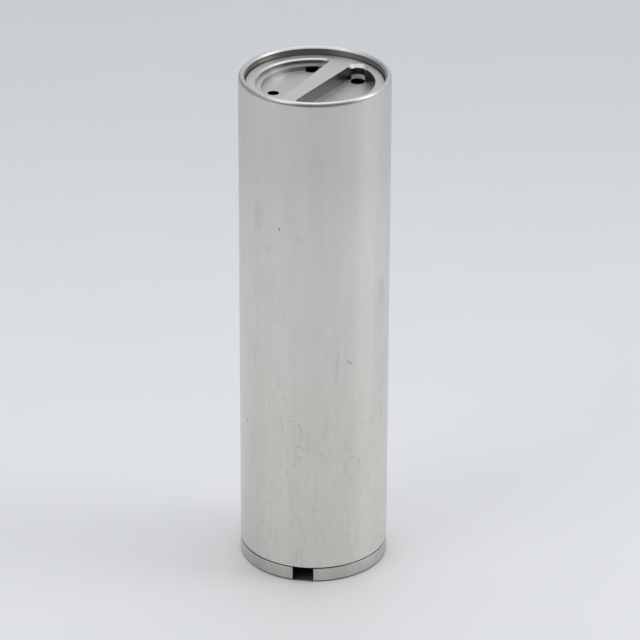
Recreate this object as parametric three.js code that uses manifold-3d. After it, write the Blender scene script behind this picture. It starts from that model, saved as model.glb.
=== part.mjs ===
// A free-standing cylinder cryptex in stainless steel, millimetres, +Z up.
// The origin is the centre of the base, and -Y is the side with the base slot.
//
// One dial on top turns a pack of four slotted wheels inside a plain sleeve. A capsule hangs in the
// sleeve by a toothed bar, the fence. When every wheel's gate lines up with the fence, and the base
// ring's bayonet lugs line up with their slots, the capsule pulls out of the bottom.
// Every part is drawn locked up, with the gates and the lugs lined up.

import * as THREE from 'three';
import { mergeVertices } from 'three/addons/utils/BufferGeometryUtils.js';
import Module from 'manifold-3d';

const wasm = await Module();
wasm.setup();

// Driving dimensions

const OUTER_R = 20;
const HEIGHT = 140.8;
const GAP = 0.3; // between two parts that touch
const SEAM_Z = 4; // top of the base ring

const LIP_R = 0.85; // lip at the sleeve's mouth: round inside, and longer down the outside
const LIP_FALL = 1.4;
const DIAL_BORE_R = OUTER_R - 2 * LIP_R;
const DIAL_R = 18.1;
const DIAL_TOP = HEIGHT - 2.2;
const DIAL_BOTTOM = DIAL_TOP - 6;
const DIAL_CHAMFER = 0.25;

const RIGHT_POCKET_R = 15.7;
const LEFT_POCKET_R = 15.4;
const LEDGE_R = 14.1; // lower wall of the left pocket, below its ledge
// The grip bar's two flanks: the way each faces in degrees from +X, and how far it is from the axis
const BAR_RIGHT = { turn: -31.6, offset: 2.3 };
const BAR_LEFT = { turn: 153.1, offset: 3.1 };
const LEFT_LEDGE_DEPTH = 1.4;
const LEFT_DEPTH = 2.9;
const LEFT_CORNER = 1.4;
const RIGHT_DEPTH = 3.9;
const RIGHT_CORNER = 2.5;
const SMALL_HOLE = { x: -10.8, y: -1, r: 1.5 };
const SUNK_HOLE = { x: 11.2, y: 9.2, r: 1.9, sink: 0.8 };
const BLIND_HOLE = { x: -0.9, y: 14.4, r: 1.7, depth: LEFT_LEDGE_DEPTH + 0.4 }; // stops under the ledge
const CLICKS = 12; // dimples under the dial, one for each of its places

const BORE_R = 16.6; // main bore of the sleeve
const PLATE_BORE_R = 17.4;
const PLATE_SEAT_Z = 128;
const PLATE_TAB_HALF = 1.5;
const SNAP_GROOVE = { r: 17.9, z0: 131, z1: 132 };
const DIAL_BORE_Z = DIAL_BOTTOM - GAP;

const POST_R = 4.5;
const POST_BORE_R = 3.2;
const POST_BOTTOM = 102.4;
const SPINDLE_R = 3;
const CAM = { r: 11.4, z0: 99.2, z1: 102 };
const SQUARE_HALF = 2.1; // squared length of the spindle that drives the cam

const WHEELS = 4;
const WHEEL_R = 14.2;
const WHEEL_BORE_R = 4.75;
const WHEEL_THICK = 3;
const WHEEL_PITCH = 5.6;
const TOP_WHEEL_Z = 122.4; // underside of the top wheel
const GATE = { half: 2.5, r: 11.8 };
const FALSE_GATE = { half: 1.2, r: 13.4 };
const PIN = { r: 0.75, hole: 0.95, at: 10.2, reach: 1.7 };
const DRIVE_PIN_TURN = -80; // degrees
const PIN_STEP = THREE.MathUtils.radToDeg((2 * PIN.r + GAP) / PIN.at);

const CAPSULE_R = 16.2;
const CAVITY_R = 13.7;
const CAVITY_FLOOR = 16;
const CAPSULE_TOP = 90;
const CAPSULE_SHOULDER = 9.5;
const HEAD_TOP = 94;
const WINDOW = { half: 8, z0: 24, z1: 78, corner: 4 };
const KEY = { half: 1.5, r0: 15.3, r1: 17.7, z0: 11.2, z1: 18.8 };

const FENCE = { half: 4, r: 14.7, top: 127.6, toothHalf: 2, toothR: 12.2, toothThick: 1.6 };
const FENCE_FOOT = { half: 7, r: 10.2, thick: 2.2 };
const FENCE_SCREW = { x: 5, y: 12.6 };

const SPIGOT = { r0: 14, r1: 16.3, top: CAPSULE_SHOULDER - GAP };
const FOOT_R = 15.1;
const FOOT_RECESS = 0.6; // the foot plate stays this far off the table
const BOSS_BOTTOM = 3.4;
const LUG = { r: 17.3, z0: 7, z1: 9, half: 7, turns: [90, 210, 330] };
const BAYONET = { r: 17.6, z0: 6.5, z1: 9.5, half: 10, lock: 60 }; // angles in degrees
const BASE_SLOT = { half: 2.85, turn: -98.2 };

const DIAL_DETENT = { at: 7, turn: -30, r: 0.95, hole: 1.05, top: DIAL_BOTTOM - 0.2 };
const BASE_DETENT = { at: 14.9, turn: 150, r: 0.85, hole: 1, bottom: SPIGOT.top + 0.2 };

const ROUND = 56; // facets round the outer parts
const INNER = 36; // round the inner ones
const SMALL = 20;
const TINY = 10; // round screws, pins and small holes

// Shapes

const rad = THREE.MathUtils.degToRad;

function polar(radius, degrees) {
  return [radius * Math.cos(rad(degrees)), radius * Math.sin(rad(degrees))];
}

// A solid of revolution about Z from [radius, height] points, counter-clockwise. A profile that does
// not start on the axis is a ring, and closes on itself.
function turned(profile, facets) {
  const points = profile.map(([r, z]) => new THREE.Vector2(r, z));
  if (points[0].x > 0) points.push(points[0].clone());
  return new THREE.LatheGeometry(points, facets).rotateX(Math.PI / 2);
}

function ring(r0, r1, z0, z1, facets) {
  return turned([[r0, z0], [r1, z0], [r1, z1], [r0, z1]], facets);
}

function rod(radius, z0, z1, facets, x = 0, y = 0) {
  const cylinder = new THREE.CylinderGeometry(radius, radius, z1 - z0, facets);
  return cylinder.rotateX(Math.PI / 2).translate(x, y, (z0 + z1) / 2);
}

function block(x0, x1, y0, y1, z0, z1) {
  const box = new THREE.BoxGeometry(x1 - x0, y1 - y0, z1 - z0);
  return box.translate((x0 + x1) / 2, (y0 + y1) / 2, (z0 + z1) / 2);
}

function extruded(shape, z0, z1, curveSegments = TINY) {
  const options = { depth: z1 - z0, bevelEnabled: false, curveSegments };
  return new THREE.ExtrudeGeometry(shape, options).translate(0, 0, z0);
}

// Part of a flat ring, between two angles in degrees.
function sector(r0, r1, from, to, z0, z1) {
  const shape = new THREE.Shape();
  shape.absarc(0, 0, r1, rad(from), rad(to), false);
  shape.absarc(0, 0, r0, rad(to), rad(from), true);
  return extruded(shape, z0, z1, Math.max(4, Math.round((to - from) / 8)));
}

// A segment of a disc, cut off at a distance from the centre, with rounded corners.
function segment(radius, offset, corner) {
  const x = offset + corner;
  const y = Math.sqrt((radius - corner) ** 2 - x ** 2);
  const angle = Math.atan2(y, x);
  const shape = new THREE.Shape();
  shape.absarc(x, -y, corner, Math.PI, 2 * Math.PI - angle, false);
  shape.absarc(0, 0, radius, -angle, angle, false);
  shape.absarc(x, y, corner, angle, Math.PI, false);
  return shape;
}

class Helix extends THREE.Curve {
  constructor(radius, z0, z1, turns) {
    super();
    Object.assign(this, { radius, z0, z1, turns });
  }

  getPoint(t, target = new THREE.Vector3()) {
    const angle = 2 * Math.PI * this.turns * t;
    const z = this.z0 + (this.z1 - this.z0) * t;
    return target.set(this.radius * Math.cos(angle), this.radius * Math.sin(angle), z);
  }
}

function coilSpring(radius, wire, z0, z1, turns) {
  const section = new THREE.Shape(new THREE.Path().absarc(0, 0, wire, 0, 2 * Math.PI).getPoints(3));
  const path = new Helix(radius, z0 + wire, z1 - wire, turns);
  const options = { steps: 8 * turns, extrudePath: path, bevelEnabled: false };
  return new THREE.ExtrudeGeometry(section, options);
}

// Cuts and joins

function solid(geometry) {
  const bare = geometry.clone();
  bare.deleteAttribute('normal');
  bare.deleteAttribute('uv');
  const merged = mergeVertices(bare, 1e-4);
  const triangles = [];
  for (let i = 0; i < merged.index.count; i += 3) {
    const corners = [0, 1, 2].map((k) => merged.index.getX(i + k));
    if (new Set(corners).size === 3) triangles.push(...corners);
  }
  const vertProperties = new Float32Array(merged.attributes.position.array);
  return new wasm.Manifold(
    new wasm.Mesh({ numProp: 3, vertProperties, triVerts: new Uint32Array(triangles) }),
  );
}

function geometryOf(manifold) {
  const mesh = manifold.getMesh();
  const geometry = new THREE.BufferGeometry();
  geometry.setAttribute('position', new THREE.BufferAttribute(mesh.vertProperties, 3));
  geometry.setIndex(new THREE.BufferAttribute(mesh.triVerts, 1));
  geometry.computeVertexNormals();
  return geometry;
}

function joined(first, ...others) {
  return geometryOf(others.reduce((sum, next) => sum.add(solid(next)), solid(first)));
}

function cut(whole, ...tools) {
  return geometryOf(tools.reduce((rest, tool) => rest.subtract(solid(tool)), solid(whole)));
}

function common(a, b) {
  return geometryOf(solid(a).intersect(solid(b)));
}

// Finishes

const FINISHES = {
  brushedSteel: { color: 0xb9bdc2, roughness: 0.38, metalness: 1 },
  turnedSteel: { color: 0xa9adb1, roughness: 0.42, metalness: 1 },
  spring: { color: 0x8f9296, roughness: 0.3, metalness: 1 },
  brass: { color: 0xb5914f, roughness: 0.35, metalness: 1 },
  acetal: { color: 0x17181a, roughness: 0.6, metalness: 0 },
  rubber: { color: 0x121212, roughness: 0.85, metalness: 0 },
};

const cryptex = new THREE.Group();

function add(name, geometry, finish) {
  const mesh = new THREE.Mesh(geometry, new THREE.MeshStandardMaterial(FINISHES[finish]));
  mesh.name = name;
  cryptex.add(mesh);
}

// Sleeve and what is fixed in it

function outerSleeve() {
  const lip = new THREE.Path();
  lip.absellipse(OUTER_R - LIP_R, HEIGHT - LIP_FALL, LIP_R, LIP_FALL, 0, Math.PI / 2, false);
  lip.absarc(OUTER_R - LIP_R, HEIGHT - LIP_R, LIP_R, Math.PI / 2, Math.PI, false);
  const profile = [
    [BORE_R, SEAM_Z + GAP],
    [OUTER_R - 0.2, SEAM_Z + GAP],
    [OUTER_R, SEAM_Z + GAP + 0.2],
    ...lip.getPoints(2).map(({ x, y }) => [x, y]),
    [DIAL_BORE_R, DIAL_BORE_Z],
    [PLATE_BORE_R, DIAL_BORE_Z],
    [PLATE_BORE_R, SNAP_GROOVE.z1],
    [SNAP_GROOVE.r, SNAP_GROOVE.z1],
    [SNAP_GROOVE.r, SNAP_GROOVE.z0],
    [PLATE_BORE_R, SNAP_GROOVE.z0],
    [PLATE_BORE_R, PLATE_SEAT_Z],
    [BORE_R, PLATE_SEAT_Z],
  ];
  const plateNotch = block(
    PLATE_BORE_R - 1, DIAL_BORE_R - 0.1, -PLATE_TAB_HALF - 0.2, PLATE_TAB_HALF + 0.2,
    PLATE_SEAT_Z, DIAL_BORE_Z + 0.1,
  );
  const keyway = block(
    KEY.r0, KEY.r1 + GAP, -KEY.half - GAP, KEY.half + GAP, KEY.z0 - GAP, KEY.z1 + GAP,
  );
  const { r, z0, z1, half, lock } = BAYONET;
  const bayonet = LUG.turns.flatMap((turn) => [
    sector(SPIGOT.r1, r, turn - half, turn + half, SEAM_Z, z0 + 0.1),
    sector(SPIGOT.r1, r, turn - half, turn + lock, z0, z1),
  ]);
  return cut(turned(profile, ROUND), plateNotch, keyway, ...bayonet);
}

function bearingPlate() {
  const flangeSeat = [5.55, 131.1];
  const bore = POST_R + 0.2;
  const boss = 8.9;
  const rim = PLATE_BORE_R - 0.2;
  const raised = 15.8; // inside the snap ring
  const bottom = PLATE_SEAT_Z + GAP;
  const rimTop = SNAP_GROOVE.z0 - 0.1;
  const top = DIAL_BOTTOM - 0.5;
  const plate = turned([
    [bore, TOP_WHEEL_Z + WHEEL_THICK + GAP],
    [boss, TOP_WHEEL_Z + WHEEL_THICK + GAP],
    [boss, bottom],
    [rim, bottom],
    [rim, rimTop],
    [raised, rimTop],
    [raised, top],
    [flangeSeat[0], top],
    flangeSeat,
    [bore, flangeSeat[1]],
  ], INNER);
  const tab = block(rim - 1, DIAL_BORE_R - 0.3, -PLATE_TAB_HALF, PLATE_TAB_HALF, bottom, rimTop);
  const [x, y] = polar(DIAL_DETENT.at, DIAL_DETENT.turn);
  return cut(joined(plate, tab), rod(DIAL_DETENT.hole, 126.7, HEIGHT, TINY, x, y));
}

function wheelPost() {
  const clipGroove = { r: 4, z0: 104.2, z1: 105.5 };
  const flange = { r: 5.3, z0: 131.4, z1: 132.2 };
  const post = turned([
    [POST_BORE_R, POST_BOTTOM],
    [POST_R, POST_BOTTOM],
    [POST_R, clipGroove.z0],
    [clipGroove.r, clipGroove.z0],
    [clipGroove.r, clipGroove.z1],
    [POST_R, clipGroove.z1],
    [POST_R, flange.z0],
    [flange.r, flange.z0],
    [flange.r, flange.z1],
    [POST_BORE_R, flange.z1],
  ], SMALL);
  return cut(post, block(-1, 1, -6, -3.8, POST_BOTTOM - 1, 123));
}

function spacer(z0, z1) {
  return joined(ring(POST_R + 0.25, 8.3, z0, z1, SMALL), block(-0.75, 0.75, -5.2, -4.1, z0, z1));
}

add('outer_sleeve', outerSleeve(), 'brushedSteel');
add('bearing_plate', bearingPlate(), 'turnedSteel');
add('plate_snap_ring', sector(16.2, 17.7, 20, 340, 131.2, 131.8), 'spring');
add('wheel_post', wheelPost(), 'turnedSteel');
add('post_circlip', sector(4.2, 6.8, -60, 240, 104.5, 105.2), 'spring');
add('guide_key', block(KEY.r0, KEY.r1, -KEY.half, KEY.half, KEY.z0, KEY.z1), 'turnedSteel');
for (let k = 1; k < WHEELS; k += 1) {
  const top = TOP_WHEEL_Z - GAP - (k - 1) * WHEEL_PITCH;
  const height = WHEEL_PITCH - WHEEL_THICK - 2 * GAP;
  add(`wheel_spacer_${k}`, spacer(top - height, top), 'brass');
}

// Dial, and what turns with it

function dialDisc() {
  const boreR = SPINDLE_R + 0.15;
  const threadR = 1.65;
  const disc = turned([
    [0, DIAL_TOP - 1.6],
    [threadR, DIAL_TOP - 1.6],
    [threadR, DIAL_BOTTOM + 1.6],
    [boreR, DIAL_BOTTOM + 1.6],
    [boreR, DIAL_BOTTOM],
    [DIAL_R - DIAL_CHAMFER, DIAL_BOTTOM],
    [DIAL_R, DIAL_BOTTOM + DIAL_CHAMFER],
    [DIAL_R, DIAL_TOP - DIAL_CHAMFER],
    [DIAL_R - DIAL_CHAMFER, DIAL_TOP],
    [0, DIAL_TOP],
  ], ROUND);
  const above = DIAL_TOP + 1;
  const pocket = (radius, flank, corner, depth) => {
    const outline = segment(radius, flank.offset, corner);
    return extruded(outline, DIAL_TOP - depth, above).rotateZ(rad(flank.turn));
  };
  const pockets = [
    pocket(RIGHT_POCKET_R, BAR_RIGHT, RIGHT_CORNER, RIGHT_DEPTH),
    pocket(LEFT_POCKET_R, BAR_LEFT, LEFT_CORNER, LEFT_LEDGE_DEPTH),
    pocket(LEDGE_R, BAR_LEFT, LEFT_CORNER, LEFT_DEPTH),
  ];
  const hole = ({ x, y, r }, top) => rod(r, DIAL_BOTTOM - 1, top, TINY, x, y);
  const countersink = turned([
    [0, DIAL_TOP - SUNK_HOLE.sink - SUNK_HOLE.r],
    [SUNK_HOLE.r + SUNK_HOLE.sink + 1, above],
    [0, above],
  ], SMALL).translate(SUNK_HOLE.x, SUNK_HOLE.y, 0);
  const holes = [
    hole(SMALL_HOLE, above),
    hole(SUNK_HOLE, above),
    hole(BLIND_HOLE, DIAL_TOP - BLIND_HOLE.depth),
    countersink,
  ];
  const dimples = Array.from({ length: CLICKS }, (_, k) => {
    const [x, y] = polar(DIAL_DETENT.at, DIAL_DETENT.turn + (k * 360) / CLICKS);
    const cone = turned([[0, DIAL_BOTTOM - 0.5], [1, DIAL_BOTTOM - 0.5], [0, DIAL_BOTTOM + 0.5]], 8);
    return cone.translate(x, y, 0);
  });
  return cut(disc, ...pockets, ...holes, ...dimples);
}

function spindle() {
  const shoulder = CAM.z1 + GAP;
  return joined(
    rod(SPINDLE_R, shoulder, DIAL_BOTTOM + 1.3, SMALL),
    rod(1.45, DIAL_BOTTOM + 1, DIAL_TOP - 1.9, TINY),
    block(-SQUARE_HALF, SQUARE_HALF, -SQUARE_HALF, SQUARE_HALF, CAM.z0 + 0.1, shoulder + 0.1),
    rod(1.85, 95.3, CAM.z0 + 0.2, TINY),
  );
}

function driveCam() {
  const hole = SQUARE_HALF + GAP;
  return cut(
    rod(CAM.r, CAM.z0, CAM.z1, INNER),
    block(-hole, hole, -hole, hole, CAM.z0 - 1, CAM.z1 + 1),
    rod(PIN.hole, CAM.z0 - 1, CAM.z1 + 1, TINY, ...polar(PIN.at, DRIVE_PIN_TURN)),
  );
}

const lowestWheelZ = TOP_WHEEL_Z - (WHEELS - 1) * WHEEL_PITCH;
const drivePin = rod(PIN.r, CAM.z0 + 0.2, lowestWheelZ - 0.9, TINY, ...polar(PIN.at, DRIVE_PIN_TURN));
const camNut = cut(rod(4.04, 95.9, CAM.z0 - GAP, 6), rod(2.15, 95, 100, TINY));

add('dial_disc', dialDisc(), 'brushedSteel');
add('dial_spindle', spindle(), 'turnedSteel');
add('drive_cam', driveCam(), 'brass');
add('cam_nut', camNut, 'turnedSteel');
add('drive_pin', drivePin, 'turnedSteel');

// Tumbler wheels: each pin pushes the next wheel's pin round

function tumblerWheel(k, z0) {
  const z1 = z0 + WHEEL_THICK;
  const gate = block(-GATE.half, GATE.half, GATE.r, WHEEL_R + 1, z0 - 1, z1 + 1);
  const falseGates = [70, 160].map((turn) => {
    const notch = block(-FALSE_GATE.half, FALSE_GATE.half, FALSE_GATE.r, WHEEL_R + 1, z0 - 1, z1 + 1);
    return notch.rotateZ(rad(turn + 25 * k));
  });
  const pinHole = rod(PIN.hole, z0 - 1, z1 + 1, TINY, ...polar(PIN.at, pinTurn(k)));
  return cut(ring(WHEEL_BORE_R, WHEEL_R, z0, z1, INNER), gate, ...falseGates, pinHole);
}

function pinTurn(k) {
  return DRIVE_PIN_TURN + (WHEELS + 1 - k) * PIN_STEP;
}

function flyPin(k, z0) {
  const below = k === WHEELS ? 2 : PIN.reach;
  const above = k === 1 ? -0.2 : PIN.reach;
  return rod(PIN.r, z0 - below, z0 + WHEEL_THICK + above, TINY, ...polar(PIN.at, pinTurn(k)));
}

for (let k = 1; k <= WHEELS; k += 1) {
  const z0 = TOP_WHEEL_Z - (k - 1) * WHEEL_PITCH;
  add(`tumbler_wheel_${k}`, tumblerWheel(k, z0), 'brass');
  add(`fly_pin_${k}`, flyPin(k, z0), 'turnedSteel');
}

// Capsule, and what is fixed to it

const headScrews = [30, 150, 270].map((turn) => polar(14.7, turn));
const footScrews = [30, 150, 270].map((turn) => polar(8, turn));

function keyGroove(z0, z1) {
  return block(KEY.r0 - GAP, CAPSULE_R + 1, -KEY.half - 0.2, KEY.half + 0.2, z0, z1);
}

function windowCutter() {
  const { half, z0, z1, corner } = WINDOW;
  const shape = new THREE.Shape();
  shape.absarc(half - corner, z1 - corner, corner, 0, Math.PI / 2, false);
  shape.absarc(corner - half, z1 - corner, corner, Math.PI / 2, Math.PI, false);
  shape.absarc(corner - half, z0 + corner, corner, Math.PI, 1.5 * Math.PI, false);
  shape.absarc(half - corner, z0 + corner, corner, 1.5 * Math.PI, 2 * Math.PI, false);
  return extruded(shape, 0, CAPSULE_R + 2, 4).rotateX(Math.PI / 2);
}

function capsuleBody() {
  const ringGroove = { r: 12.7, z0: 6, z1: 7.4 };
  const body = turned([
    [0, BOSS_BOTTOM],
    [CAVITY_R, BOSS_BOTTOM],
    [CAVITY_R, ringGroove.z0],
    [ringGroove.r, ringGroove.z0],
    [ringGroove.r, ringGroove.z1],
    [CAVITY_R, ringGroove.z1],
    [CAVITY_R, CAPSULE_SHOULDER],
    [CAPSULE_R, CAPSULE_SHOULDER],
    [CAPSULE_R, CAPSULE_TOP],
    [CAVITY_R, CAPSULE_TOP],
    [CAVITY_R, CAVITY_FLOOR],
    [0, CAVITY_FLOOR],
  ], INNER);
  return cut(
    body,
    keyGroove(KEY.z0 - 0.8, CAPSULE_TOP + 1),
    windowCutter(),
    rod(BASE_DETENT.hole, BOSS_BOTTOM, 15.5, TINY, ...polar(BASE_DETENT.at, BASE_DETENT.turn)),
    ...headScrews.map(([x, y]) => rod(0.85, 84.7, CAPSULE_TOP + 1, TINY, x, y)),
    ...footScrews.map(([x, y]) => rod(1.2, BOSS_BOTTOM - 1, 8.4, TINY, x, y)),
  );
}

function capsuleHead() {
  const bottom = CAPSULE_TOP + GAP;
  const spigotBottom = bottom - 3.3;
  const head = turned([
    [0, spigotBottom],
    [CAVITY_R - GAP, spigotBottom],
    [CAVITY_R - GAP, bottom],
    [CAPSULE_R, bottom],
    [CAPSULE_R, HEAD_TOP - GAP],
    [CAPSULE_R - GAP, HEAD_TOP],
    [0, HEAD_TOP],
  ], INNER);
  return cut(
    head,
    keyGroove(spigotBottom, HEAD_TOP + 1),
    ...headScrews.flatMap(([x, y]) => [
      rod(0.85, spigotBottom - 1, HEAD_TOP + 1, TINY, x, y),
      rod(1.4, HEAD_TOP - 1.2, HEAD_TOP + 1, TINY, x, y),
    ]),
    ...[-1, 1].map((side) =>
      rod(1.2, bottom + 0.4, HEAD_TOP + 1, TINY, side * FENCE_SCREW.x, FENCE_SCREW.y)),
  );
}

function fenceBar() {
  const z0 = HEAD_TOP + GAP;
  const footTop = z0 + FENCE_FOOT.thick;
  const foot = common(
    block(-FENCE_FOOT.half, FENCE_FOOT.half, FENCE_FOOT.r, OUTER_R, z0, footTop),
    rod(CAPSULE_R, z0 - 1, footTop + 1, ROUND),
  );
  const bar = common(
    block(-FENCE.half, FENCE.half, 0, OUTER_R, footTop - 0.5, FENCE.top),
    ring(FENCE.r, CAPSULE_R, z0, FENCE.top + 1, ROUND),
  );
  const clearance = (WHEEL_PITCH - WHEEL_THICK - FENCE.toothThick) / 2;
  const teeth = Array.from({ length: WHEELS }, (_, k) => {
    const z = TOP_WHEEL_Z + WHEEL_THICK + clearance - k * WHEEL_PITCH;
    return block(-FENCE.toothHalf, FENCE.toothHalf, FENCE.toothR, FENCE.r + 0.8, z, z + FENCE.toothThick);
  });
  const screwHoles = [-1, 1].map((side) =>
    rod(1.2, z0 - 1, footTop + 1, TINY, side * FENCE_SCREW.x, FENCE_SCREW.y));
  return cut(joined(foot, bar, ...teeth), ...screwHoles);
}

// A cheese-head screw standing on its tip, or hanging on it when its head is the lower end.
function screw(shankR, headR, tipZ, seatZ, headZ, [x, y]) {
  const head = rod(headR, Math.min(seatZ, headZ), Math.max(seatZ, headZ), TINY, x, y);
  const middle = (seatZ + headZ) / 2;
  const shank = rod(shankR, Math.min(tipZ, middle), Math.max(tipZ, middle), TINY, x, y);
  return joined(head, shank);
}

function footPlate() {
  const top = BOSS_BOTTOM - GAP;
  const disc = turned([
    [0, FOOT_RECESS],
    [FOOT_R - 0.5, FOOT_RECESS],
    [FOOT_R, FOOT_RECESS + 0.5],
    [FOOT_R, top],
    [0, top],
  ], INNER);
  return cut(disc, ...footScrews.flatMap(([x, y]) => [
    rod(1.25, 0, top + 1, TINY, x, y),
    rod(2.2, 0, FOOT_RECESS + 1.4, TINY, x, y),
  ]));
}

const sealRing = new THREE.TorusGeometry(13.35, 0.5, 6, 32).translate(0, 0, 6.7);

add('capsule_body', capsuleBody(), 'brushedSteel');
add('capsule_head', capsuleHead(), 'brushedSteel');
headScrews.forEach((at, k) => {
  add(`head_screw_${k + 1}`, screw(0.65, 1.15, 85, HEAD_TOP - 0.9, HEAD_TOP - 0.1, at), 'turnedSteel');
});
add('fence_bar', fenceBar(), 'turnedSteel');
[-1, 1].forEach((side, k) => {
  const at = [side * FENCE_SCREW.x, FENCE_SCREW.y];
  const seat = HEAD_TOP + 2 * GAP + FENCE_FOOT.thick;
  add(`fence_screw_${k + 1}`, screw(0.95, 1.8, CAPSULE_TOP + 1, seat, seat + 1.4, at), 'turnedSteel');
});
add('seal_ring', sealRing, 'rubber');
add('foot_plate', footPlate(), 'acetal');
footScrews.forEach((at, k) => {
  add(`foot_screw_${k + 1}`, screw(0.95, 1.9, 8, FOOT_RECESS + 1.1, FOOT_RECESS + 0.3, at), 'turnedSteel');
});

// Base ring

function baseRing() {
  const edge = 0.3;
  const body = turned([
    [FOOT_R + GAP, 0],
    [OUTER_R - edge, 0],
    [OUTER_R, edge],
    [OUTER_R, SEAM_Z - 0.15],
    [OUTER_R - 0.15, SEAM_Z],
    [SPIGOT.r1, SEAM_Z],
    [SPIGOT.r1, SPIGOT.top],
    [SPIGOT.r0, SPIGOT.top],
    [SPIGOT.r0, BOSS_BOTTOM],
    [FOOT_R + GAP, BOSS_BOTTOM],
  ], ROUND);
  const lugs = LUG.turns.map((turn) =>
    sector(SPIGOT.r1 - 0.5, LUG.r, turn - LUG.half, turn + LUG.half, LUG.z0, LUG.z1));
  const slot = (r0, z1) =>
    block(r0, OUTER_R + 1, -BASE_SLOT.half, BASE_SLOT.half, -1, z1).rotateZ(rad(BASE_SLOT.turn));
  return cut(joined(body, ...lugs), slot(SPIGOT.r1 + 0.3, SEAM_Z + 1), slot(SPIGOT.r0, BOSS_BOTTOM));
}

add('base_ring', baseRing(), 'turnedSteel');

// Detents: a ball on a coil spring under the dial, and one over the base ring's spigot

function ball(radius, z, x, y) {
  return new THREE.SphereGeometry(radius, TINY, 8).rotateX(Math.PI / 2).translate(x, y, z);
}

const dialDetentAt = polar(DIAL_DETENT.at, DIAL_DETENT.turn);
const dialBallZ = DIAL_DETENT.top - DIAL_DETENT.r;
add('dial_detent_ball', ball(DIAL_DETENT.r, dialBallZ, ...dialDetentAt), 'spring');
add('dial_detent_spring', coilSpring(0.65, 0.18, 127, 130.4, 4).translate(...dialDetentAt, 0), 'spring');

const baseDetentAt = polar(BASE_DETENT.at, BASE_DETENT.turn);
const baseBallZ = BASE_DETENT.bottom + BASE_DETENT.r;
add('base_detent_ball', ball(BASE_DETENT.r, baseBallZ, ...baseDetentAt), 'spring');
add('base_detent_spring', coilSpring(0.6, 0.18, 11.4, 15.2, 4).translate(...baseDetentAt, 0), 'spring');

export default cryptex;
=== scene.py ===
# The visual model of a cylinder cryptex: a satin steel sleeve with a recessed dial on top, a slotted
# base ring, and the lock and capsule inside. Lengths are millimetres until they become mesh points.

import bpy
import bmesh
import math
import random
from mathutils import Matrix, Vector


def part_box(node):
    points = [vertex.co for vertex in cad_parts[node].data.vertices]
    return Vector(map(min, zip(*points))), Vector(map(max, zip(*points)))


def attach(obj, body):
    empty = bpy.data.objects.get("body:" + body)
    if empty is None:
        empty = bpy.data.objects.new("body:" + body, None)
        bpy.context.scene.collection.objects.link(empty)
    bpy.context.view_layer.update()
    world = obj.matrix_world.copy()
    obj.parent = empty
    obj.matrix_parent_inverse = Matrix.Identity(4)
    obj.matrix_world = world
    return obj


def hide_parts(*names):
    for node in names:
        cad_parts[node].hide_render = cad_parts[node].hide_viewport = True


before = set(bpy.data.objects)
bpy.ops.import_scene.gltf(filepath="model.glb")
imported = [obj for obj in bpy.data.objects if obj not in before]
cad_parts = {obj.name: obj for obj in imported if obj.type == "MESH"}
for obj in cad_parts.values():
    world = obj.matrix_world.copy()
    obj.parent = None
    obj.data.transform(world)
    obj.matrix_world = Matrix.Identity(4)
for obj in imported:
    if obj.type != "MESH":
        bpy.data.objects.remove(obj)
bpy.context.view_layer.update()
MM = 0.001


def corner(node, high, axis):
    """One coordinate of a CAD node's box, in millimetres."""
    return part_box(node)[high][axis] / MM


# Places that the frame gives

OUTER_R = corner("outer_sleeve", 1, 0)
TOP = corner("outer_sleeve", 1, 2)
SLEEVE_BOTTOM = corner("outer_sleeve", 0, 2)
DIAL_R = corner("dial_disc", 1, 0)
DIAL_TOP = corner("dial_disc", 1, 2)
DIAL_BOTTOM = corner("dial_disc", 0, 2)
CAPSULE_R = corner("capsule_body", 1, 0)
CAPSULE_TOP = corner("capsule_body", 1, 2)
BOSS_BOTTOM = corner("capsule_body", 0, 2)
HEAD_TOP = corner("capsule_head", 1, 2)
SPIGOT_TOP = corner("base_ring", 1, 2)
FOOT_BOTTOM = corner("foot_plate", 0, 2)
FOOT_TOP = corner("foot_plate", 1, 2)
FOOT_R = 15.1

# Details of the visible surfaces

LIP_R = 0.85
LIP_FALL = 1.4
RIM_R = OUTER_R - 2 * LIP_R
BORE_R = 16.6
PLATE_BORE_R = 17.4
PLATE_SEAT = 128.0
SEAM_TOP = SLEEVE_BOTTOM - 0.3
# The dial's grip bar: the way each flank faces in degrees, and its distance from the axis
BAR_RIGHT = (-31.6, 2.3)
BAR_LEFT = (153.1, 3.1)
RIGHT_POCKET_R = 15.7
RIGHT_CORNER_R = 2.5
RIGHT_DEPTH = 3.9
LEFT_POCKET_R = 15.4
LEFT_CORNER_R = 1.4
LEFT_DEPTH = 2.9
LEFT_EDGE = 0.4  # broken edge round the left pocket's mouth
LEDGE_R = 14.1
LEDGE_DEPTH = 1.4
# The dial's three holes: x, y and radius
SMALL_HOLE = (-10.8, -1, 1.5)
SUNK_HOLE = (11.2, 9.2, 1.9)
BLIND_HOLE = (-0.9, 14.4, 1.7)
COUNTERSINK = 0.8
SLOT_TURN = -98.2  # the way the base slot faces
SLOT_WIDTH = 5.7

# Studio and camera

CAMERA_PITCH = 0.4616
CAMERA_ROLL = 0.0037
CAMERA_AWAY = 1052.2
CAMERA_ASIDE = 1.54
CAMERA_ABOVE = 62.1
LENS = 214.6


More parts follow.
